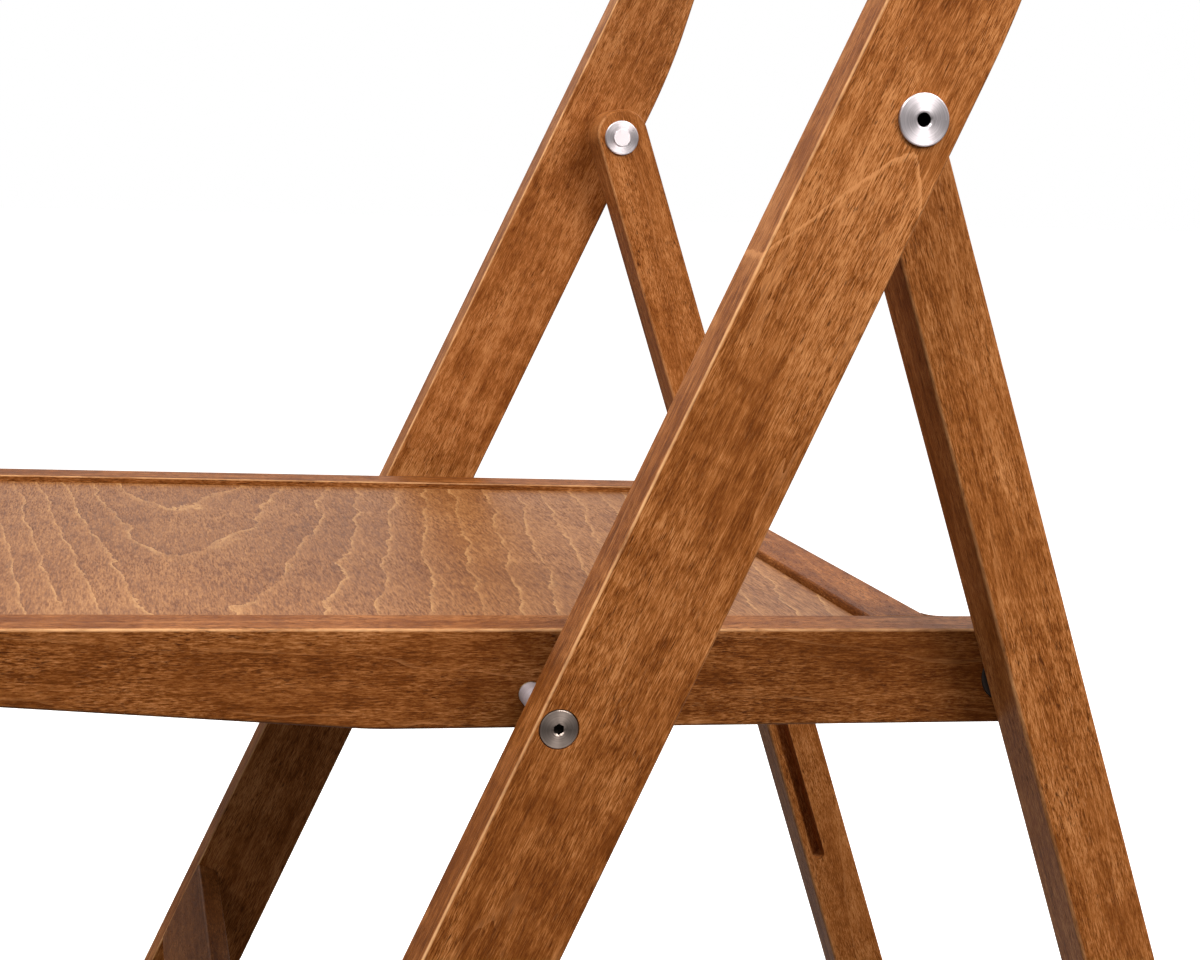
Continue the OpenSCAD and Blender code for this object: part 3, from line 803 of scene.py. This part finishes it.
def crossRail(low, high, bottom, fillet):
    s = seatSpec
    profile = roundedRectangle((low, bottom), (high, s["top"]), s["roundOut"])
    bm = board(profile, -lanes["railIn"], lanes["railIn"], seatPlane, squareEnd, squareEnd, steps=2)
    if fillet:
        # small hollow corners where the rear rail meets the side rails
        for side in (-1, 1):
            corner = Vector((side * lanes["railIn"], high))
            outline = [corner, corner + Vector((-side * fillet, 0))]
            for t in (math.radians(step) for step in range(10, 91, 10)):
                outline.append(Vector((corner.x - side * fillet + side * fillet * math.sin(t),
                                       corner.y + fillet - fillet * math.cos(t))))
            loops = []
            for up, inset in ((bottom + s["filletFoot"], 0.0), (s["top"] - s["roundOut"] * 0.4, 0.0),
                              (s["top"] - s["filletSink"], s["filletInset"])):
                loops.append([bm.verts.new(seatPivot + Vector((p.x * mm, 0, 0))
                                           + seatPlane[1] * ((p.y - inset) * mm) + seatPlane[2] * (up * mm))
                              for p in outline])
            stitch(bm, loops)
            bm.faces.new(loops[0])
            bm.faces.new(loops[-1])
    return bm


s = seatSpec
frontRail = crossRail(s["front"], s["front"] + s["cross"], s["bottom"] + s["frontRise"], 0)
finishObject("frontSeatRail", frontRail, seatPlane, "lateral", 33, finishes["wood_seat"], "seat",
             ["front_seat_rail"])
rearRail = crossRail(s["rear"] - s["cross"], s["rear"], s["bottom"], s["fillet"])
finishObject("rearSeatRail", rearRail, seatPlane, "lateral", 39, finishes["wood_seat"], "seat",
             ["rear_seat_rail"])

panelProfile = roundedRectangle((s["front"] + s["cross"] + s["gap"], s["top"] - s["recess"] - s["panel"]),
                                (s["rear"] - s["cross"] - s["gap"], s["top"] - s["recess"]),
                                s["panelRound"], 3)
panelMesh = board(panelProfile, -lanes["railIn"] + s["gap"], lanes["railIn"] - s["gap"], seatPlane,
                  s["panelRound"], s["panelRound"], steps=3)
finishObject("seatPanel", panelMesh, seatPlane, "lateral", 0, finishes["panel_veneer"], "seat",
             ["seat_panel"])
print("seat made")


# stretchers
stretcherSpec = {
    "frontTop": -196.0,
    "frontHeight": 41.0,
    "frontThick": 10.5,
    "frontInset": 0.1,
    "rearTop": 500.0,
    "rearHeight": 40.0,
    "rearThick": 16.0,
    "round": 1.0,
}
t = stretcherSpec
frontProfile = roundedRectangle((t["frontTop"] - t["frontHeight"], stileSpec["front"] + t["frontInset"]),
                                (t["frontTop"], stileSpec["front"] + t["frontThick"]), t["round"])
frontMesh = board(frontProfile, -lanes["stileIn"], lanes["stileIn"], stilePlane, squareEnd, squareEnd,
                  steps=2)
finishObject("frontStretcher", frontMesh, stilePlane, "lateral", 45, shadedStretcherWood, "side_frame",
             ["front_stretcher"])
rearProfile = roundedRectangle((t["rearTop"], legSpec["offset"] - t["rearThick"] / 2),
                               (t["rearTop"] + t["rearHeight"], legSpec["offset"] + t["rearThick"] / 2),
                               t["round"])
rearMesh = board(rearProfile, -lanes["legIn"], lanes["legIn"], legPlane, squareEnd, squareEnd, steps=2)
finishObject("rearStretcher", rearMesh, legPlane, "lateral", 51, finishes["wood_legs"], "rear_legs",
             ["rear_stretcher"])
print("stretchers made")


# geometry node helpers
def newTree(name, sockets):
    tree = bpy.data.node_groups.new(name, "GeometryNodeTree")
    tree.interface.new_socket("Geometry", in_out="INPUT", socket_type="NodeSocketGeometry")
    tree.interface.new_socket("Geometry", in_out="OUTPUT", socket_type="NodeSocketGeometry")
    for label, kind, value in sockets:
        socket = tree.interface.new_socket(label, in_out="INPUT", socket_type=kind)
        if value is not None:
            socket.default_value = value
    tree.nodes.new("NodeGroupInput")
    tree.nodes.new("NodeGroupOutput")
    return tree


def treeEnds(tree):
    start = next(n for n in tree.nodes if n.type == "GROUP_INPUT")
    end = next(n for n in tree.nodes if n.type == "GROUP_OUTPUT")
    return start, end


def growMesh(name, tree, values, points=None):
    # runs a tree once and gives back the plain mesh it makes
    mesh = points or bpy.data.meshes.new(name + "Seed")
    holder = addObject(name + "Seed", mesh)
    modifier = holder.modifiers.new("grow", "NODES")
    modifier.node_group = tree
    names = {item.name: item.identifier for item in tree.interface.items_tree if item.in_out == "INPUT"}
    for label, value in values.items():
        modifier[names[label]] = value
    bpy.context.view_layer.update()
    graph = bpy.context.evaluated_depsgraph_get()
    grown = bpy.data.meshes.new_from_object(holder.evaluated_get(graph), preserve_all_data_layers=True,
                                            depsgraph=graph)
    grown.name = name
    bpy.data.objects.remove(holder)
    return grown


# backrest, swept along an arc
backSpec = {
    "start": 316.0,
    "height": 58.0,
    "thick": 12.0,
    "bow": 20.0,
    "front": -2.4,
    "round": 3.0,
    "points": 49,
    "endCut": 4.0,
}


def backrestTree():
    tree = newTree("bowedBoard", [
        ("HalfWidth", "NodeSocketFloat", 0.2), ("Bow", "NodeSocketFloat", 0.02),
        ("Height", "NodeSocketFloat", 0.06), ("Thickness", "NodeSocketFloat", 0.012),
        ("Round", "NodeSocketFloat", 0.003),
        ("Points", "NodeSocketInt", 49), ("Finish", "NodeSocketMaterial", None)])
    start, end = treeEnds(tree)
    given = start.outputs
    negative = put(tree, "ShaderNodeMath", {0: given["HalfWidth"], 1: -1.0}, operation="MULTIPLY").outputs[0]
    left = put(tree, "ShaderNodeCombineXYZ", {"X": negative}).outputs[0]
    middle = put(tree, "ShaderNodeCombineXYZ", {"Y": given["Bow"]}).outputs[0]
    right = put(tree, "ShaderNodeCombineXYZ", {"X": given["HalfWidth"]}).outputs[0]
    arc = put(tree, "GeometryNodeCurveArc", {"Resolution": given["Points"], "Start": left, "Middle": middle,
                                             "End": right}, mode="POINTS")
    shape = put(tree, "GeometryNodeCurvePrimitiveQuadrilateral", {"Width": given["Thickness"],
                                                                 "Height": given["Height"]})
    fillet = put(tree, "GeometryNodeFilletCurve", {"Curve": shape.outputs["Curve"], "Radius": given["Round"],
                                                   "Count": 6}, mode="POLY")
    sweep = put(tree, "GeometryNodeCurveToMesh", {"Curve": arc.outputs["Curve"],
                                                  "Profile Curve": fillet.outputs[0], "Fill Caps": True})
    finish = put(tree, "GeometryNodeSetMaterial", {"Geometry": sweep.outputs[0], "Material": given["Finish"]})
    real = put(tree, "GeometryNodeRealizeInstances", {"Geometry": finish.outputs[0]})
    tree.links.new(real.outputs[0], end.inputs[0])
    return tree


b = backSpec
backMesh = growMesh("backrest", backrestTree(), {
    "HalfWidth": lanes["stileIn"] * mm, "Bow": b["bow"] * mm, "Height": b["height"] * mm,
    "Thickness": b["thick"] * mm, "Round": b["round"] * mm, "Points": b["points"],
    "Finish": finishes["wood_frame"]})
# stand it between the stiles: its own Y is across them and its own Z along them
for v in backMesh.vertices:
    x, y, z = v.co
    # the ends are cut flat against the stiles
    if abs(abs(x) - lanes["stileIn"] * mm) < b["endCut"] * mm:
        x = math.copysign(lanes["stileIn"] * mm, x)
    v.co = (seatPivot + Vector((x, 0, 0)) + stilePlane[1] * (z + (b["start"] + b["height"] / 2) * mm)
            + stilePlane[2] * (y + (b["front"] + b["thick"] / 2) * mm))
backMesh.attributes.new("edgeWearHighlight", "FLOAT", "POINT")
finishMesh("backrestBoard", backMesh, stilePlane, "upright", 57, finishes["wood_frame"], "side_frame",
           ["backrest"])
print("backrest made")


# turned fittings: one master of each, repeated on both sides
hexGrowth = 1.08  # how far a hexagon's corners pass the round bore
pathLean = 0.3  # how much the way along the axis counts in the turning marks


def turned(profile, sides=64, socket=(), dark=0):
    # profile: (x outwards, radius) from the back to the front; the axis is X
    # socket: the stations of the profile that are hexagonal
    # dark: how many stations at the end of the profile lie in the socket, which is painted near black as shade
    bm = bmesh.new()
    layer = bm.loops.layers.uv.new("turned")
    paintedSocketShade = bm.faces.layers.float.new("paintedSocketShade")
    rings = []
    for x, radius in profile:
        ring = []
        for k in range(sides):
            a = 2 * math.pi * k / sides
            r = radius
            if x in socket:
                sector = (a + math.pi / 6) % (math.pi / 3) - math.pi / 6
                r = radius / math.cos(sector) * math.cos(math.pi / 6) * hexGrowth
            ring.append(bm.verts.new((x * mm, r * mm * math.cos(a), r * mm * math.sin(a))))
        rings.append(ring)
    paths = [(radius + x * pathLean) * mm for x, radius in profile]
    for place, (back, front) in enumerate(zip(rings, rings[1:])):
        for k in range(sides):
            j = (k + 1) % sides
            face = bm.faces.new((back[k], back[j], front[j], front[k]))
            face[paintedSocketShade] = 1.0 if dark and place >= len(profile) - 1 - dark else 0.0
            near, far = paths[place:place + 2]
            corners = ((k, near), (k + 1, near), (k + 1, far), (k, far))
            for loop, (angle, path) in zip(face.loops, corners):
                loop[layer].uv = (angle / sides, path)
    bm.faces.new(rings[0])
    bm.faces.new(rings[-1])[paintedSocketShade] = 1.0 if dark else 0.0
    bmesh.ops.recalc_face_normals(bm, faces=bm.faces)
    mesh = bpy.data.meshes.new("master")
    bm.to_mesh(mesh)
    bm.free()
    return mesh


def repeatTree():
    tree = newTree("repeatAtPoints", [("Master", "NodeSocketObject", None),
                                      ("Finish", "NodeSocketMaterial", None)])
    start, end = treeEnds(tree)
    given = start.outputs
    turn = put(tree, "GeometryNodeInputNamedAttribute", {"Name": "turn"}, data_type="FLOAT_VECTOR").outputs[0]
    info = put(tree, "GeometryNodeObjectInfo", {"Object": given["Master"]}, transform_space="ORIGINAL")
    cloud = put(tree, "GeometryNodeMeshToPoints", {"Mesh": given["Geometry"]})
    rotation = put(tree, "FunctionNodeEulerToRotation", {0: turn}).outputs[0]
    copies = put(tree, "GeometryNodeInstanceOnPoints", {
        "Points": cloud.outputs[0], "Instance": info.outputs["Geometry"], "Rotation": rotation})
    real = put(tree, "GeometryNodeRealizeInstances", {"Geometry": copies.outputs[0]})
    finish = put(tree, "GeometryNodeSetMaterial", {"Geometry": real.outputs[0], "Material": given["Finish"]})
    tree.links.new(finish.outputs[0], end.inputs[0])
    return tree


repeatAtPoints = repeatTree()
sharpAngle = 32


def repeated(name, master, places, mat, body, nodes):
    holder = addObject(name + "Master", master)
    points = bpy.data.meshes.new(name + "Points")
    points.from_pydata([p for p, _ in places], [], [])
    turn = points.attributes.new("turn", "FLOAT_VECTOR", "POINT")
    for i, (_, rotation) in enumerate(places):
        turn.data[i].vector = rotation
    mesh = growMesh(name, repeatAtPoints, {"Master": holder, "Finish": mat}, points)
    bpy.data.objects.remove(holder)
    for polygon in mesh.polygons:
        polygon.use_smooth = True
    mesh.set_sharp_from_angle(angle=math.radians(sharpAngle))
    piece = addObject(name, mesh)
    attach(piece, body)
    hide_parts(*nodes)


def bothSides(x, base):
    # the right copy faces +X and the left copy faces -X
    return [(Vector((x * mm, base.y, base.z)), Vector((0, 0, 0))),
            (Vector((-x * mm, base.y, base.z)), Vector((0, 0, math.pi)))]


# (outwards, radius) in mm from the back of each fitting to its front
fittingProfiles = {
    "legSleeve": [
        (-46.6, 4.0), (-0.02, 4.0), (-0.02, 7.9), (0.12, 8.0), (0.25, 8.16), (0.80, 8.16),
        (1.02, 8.09), (1.14, 7.95), (1.20, 7.74), (1.20, 7.65), (1.20, 5.2), (1.20, 2.85),
        (1.20, 2.75), (1.12, 2.60), (0.72, 2.22), (-4.2, 2.20), (-5.2, 1.2)
    ],
    "legScrew": [
        (-30.0, 2.45), (-0.02, 2.45), (-0.02, 7.9), (0.20, 8.3), (0.75, 8.3), (1.02, 8.22),
        (1.14, 8.05), (1.20, 7.80), (1.20, 7.65), (1.20, 4.0), (1.20, 2.45), (1.20, 2.35),
        (1.05, 2.02), (-2.6, 2.0), (-3.4, 1.0)
    ],
    "seatBolt": [
        (-59.4, 2.95), (-2.4, 2.95), (-2.4, 5.8), (-2.2, 6.0), (-0.34, 6.0), (-0.14, 5.94),
        (-0.03, 5.80), (0.0, 5.68), (0.0, 5.58), (0.0, 3.6), (0.0, 2.12), (0.0, 2.02),
        (-0.14, 1.80), (-0.36, 1.60), (-2.0, 1.58), (-2.3, 0.8)
    ],
    "seatSpacer": [
        (0.0, 3.05), (0.0, 3.6), (0.3, 3.9), (25.0, 3.9), (25.3, 3.6), (25.3, 3.05)
    ],
    "guideFlange": [
        (-14.0, 4.25), (-1.7, 4.25), (-1.7, 8.3), (-1.5, 8.5), (-0.4, 8.5), (-0.2, 8.3),
        (-0.2, 5.0), (-0.35, 4.7), (-0.35, 3.4), (-0.5, 3.0), (-10.0, 3.0), (-10.2, 2.0)
    ],
    "footGlide": [
        (0.0, 3.0), (0.0, 7.0), (0.25, 7.6), (0.7, 8.0), (2.6, 8.0), (3.0, 7.8), (3.0, 2.0),
        (14.8, 2.0), (15.0, 1.6)
    ],
}
fittingSpec = {
    "socketStations": (-0.36, -2.0),  # the hexagonal ones, by their place outwards
    "boltInset": 0.2,
    "spacerGap": 0.2,
    "glideRadius": 8.0,
    "glideSides": 40,
}

legHead = turned(fittingProfiles["legSleeve"], dark=2)
repeated("legPivotSleeves", legHead, bothSides(lanes["stileOut"], legPivot), finishes["pivot_steel"],
         "side_frame", ["leg_pivot_sleeves"])
screwHead = turned(fittingProfiles["legScrew"], dark=2)
inner = [(Vector((lanes["legIn"] * mm, legPivot.y, legPivot.z)), Vector((0, 0, math.pi))),
         (Vector((-lanes["legIn"] * mm, legPivot.y, legPivot.z)), Vector((0, 0, 0)))]
repeated("legPivotScrews", screwHead, inner, finishes["pivot_steel"], "side_frame", ["leg_pivot_screws"])
seatHead = turned(fittingProfiles["seatBolt"], socket=fittingSpec["socketStations"], dark=2)
repeated("seatPivotBolts", seatHead, bothSides(lanes["stileOut"] - fittingSpec["boltInset"], seatPivot),
         finishes["turned_steel"], "side_frame", ["seat_pivot_bolts"])
sleeve = turned(fittingProfiles["seatSpacer"])
repeated("seatPivotSpacers", sleeve, bothSides(lanes["railOut"] + fittingSpec["spacerGap"], seatPivot),
         sleeveSteel, "side_frame", ["seat_pivot_spacers"])
flange = turned(fittingProfiles["guideFlange"])
repeated("guideFlanges", flange, bothSides(lanes["railOut"], seatPivot + guideOffset), finishes["dark_steel"],
         "seat", ["guide_flanges"])
footGlide = turned(fittingProfiles["footGlide"], fittingSpec["glideSides"])


def underFeet(node):
    lowCorner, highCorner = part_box(node)
    x = highCorner.x - fittingSpec["glideRadius"] * mm
    y = (lowCorner.y + highCorner.y) / 2
    upright = Vector((0, -math.pi / 2, 0))
    return [(Vector((x, y, 0)), upright), (Vector((-x, y, 0)), upright)]


repeated("stileGlides", footGlide, underFeet("stile_glides"), finishes["glide_nylon"], "side_frame",
         ["stile_glides"])
repeated("legGlides", footGlide.copy(), underFeet("leg_glides"), finishes["glide_nylon"], "rear_legs",
         ["leg_glides"])
print("fittings made")


# parts kept from the frame
record = frame["record"]
slotOf = {part["node"]: part["material_slot"] for part in record["subparts"]}
kept = ["front_stretcher_dowels", "backrest_dowels", "rear_stretcher_dowels", "seat_rail_dowels",
        "seat_pivot_inserts", "leg_pivot_washers", "guide_pins"]
for node in kept:
    mat = pinSteel if node == "guide_pins" else finishes[slotOf[node]]
    mesh = frame["nodes"][node].data
    mesh.materials.clear()
    mesh.materials.append(mat)


# floor and light
stageSpec = {"halfSize": 30.0, "floorTone": 0.90, "floorRough": 0.9, "floorSheen": 0.1, "floorGlow": 0.78}
floorMesh = bpy.data.meshes.new("studioFloor")
half = stageSpec["halfSize"]
floorCorners = [(-half, -half, 0), (half, -half, 0), (half, half, 0), (-half, half, 0)]
floorMesh.from_pydata(floorCorners, [], [(0, 1, 2, 3)])
floor = addObject("studioFloor", floorMesh)
floorMat, _, floorShader = newMaterial("paleFloor")
floorShader.inputs["Base Color"].default_value = (stageSpec["floorTone"],) * 3 + (1,)
floorShader.inputs["Roughness"].default_value = stageSpec["floorRough"]
floorShader.inputs["Specular IOR Level"].default_value = stageSpec["floorSheen"]
floorShader.inputs["Emission Color"].default_value = (1, 1, 1, 1)
floorShader.inputs["Emission Strength"].default_value = stageSpec["floorGlow"]
floorMesh.materials.append(floorMat)
floor.visible_diffuse = False
floor.visible_glossy = False


lampColor = (1.0, 0.985, 0.97)


def softbox(name, place, target, size, power):
    data = bpy.data.lights.new(name, "AREA")
    data.shape = "RECTANGLE"
    data.size, data.size_y = size
    data.energy = power
    data.color = lampColor
    light = addObject(name, data)
    light.location = place
    light.rotation_mode = "QUATERNION"
    light.rotation_quaternion = (Vector(target) - Vector(place)).to_track_quat("-Z", "Y")


lights = {
    "topLight": ((0.5, 0.0, 2.2), (0.1, 0, 0.5), (1.3, 1.6), 3.0),
    "sideLight": ((1.15, 0.60, 1.42), (0.2, 0.1, 0.85), (0.9, 0.7), 25.0),
    "frontLight": ((0.7, -1.1, 2.25), (0, 0, 0.5), (1.2, 0.8), 53.0),
    "backLight": ((-1.3, 1.2, 1.7), (0, 0, 0.4), (1.0, 0.8), 12.0),
}
for lightName, (place, target, size, power) in lights.items():
    softbox(lightName, place, target, size, power)


def studioWorld():
    # white behind the chair, soft light from above and little from below
    world = bpy.data.worlds.new("studio")
    bpy.context.scene.world = world
    world.use_nodes = True
    tree = world.node_tree
    tree.nodes.clear()
    path = put(tree, "ShaderNodeLightPath")
    heading = put(tree, "ShaderNodeTexCoord").outputs["Generated"]
    height = put(tree, "ShaderNodeSeparateXYZ", {"Vector": heading}).outputs[2]
    level = band(tree, height, -0.12, 0.25, 0.42, 1.0)
    belt = calc(tree, "ABSOLUTE", calc(tree, "ADD", height, 0.19))
    mirror = band(tree, belt, 0.10, 0.42, 0.16, 0.95)
    power = put(tree, "ShaderNodeMix", {"Factor": path.outputs["Is Glossy Ray"],
                                        "A": mul(tree, level, 0.35), "B": mirror}).outputs[0]
    fill = put(tree, "ShaderNodeBackground", {"Color": (1.0, 0.985, 0.965, 1), "Strength": power})
    seen = put(tree, "ShaderNodeBackground", {"Color": (1, 1, 1, 1), "Strength": 1.0})
    pick = put(tree, "ShaderNodeMixShader", {0: path.outputs["Is Camera Ray"], 1: fill.outputs[0],
                                             2: seen.outputs[0]})
    put(tree, "ShaderNodeOutputWorld", {"Surface": pick.outputs[0]})


studioWorld()
view = bpy.context.scene.view_settings
view.view_transform = "Standard"
view.look = "None"
view.exposure = 0.0
view.gamma = 1.0
print("stage set")
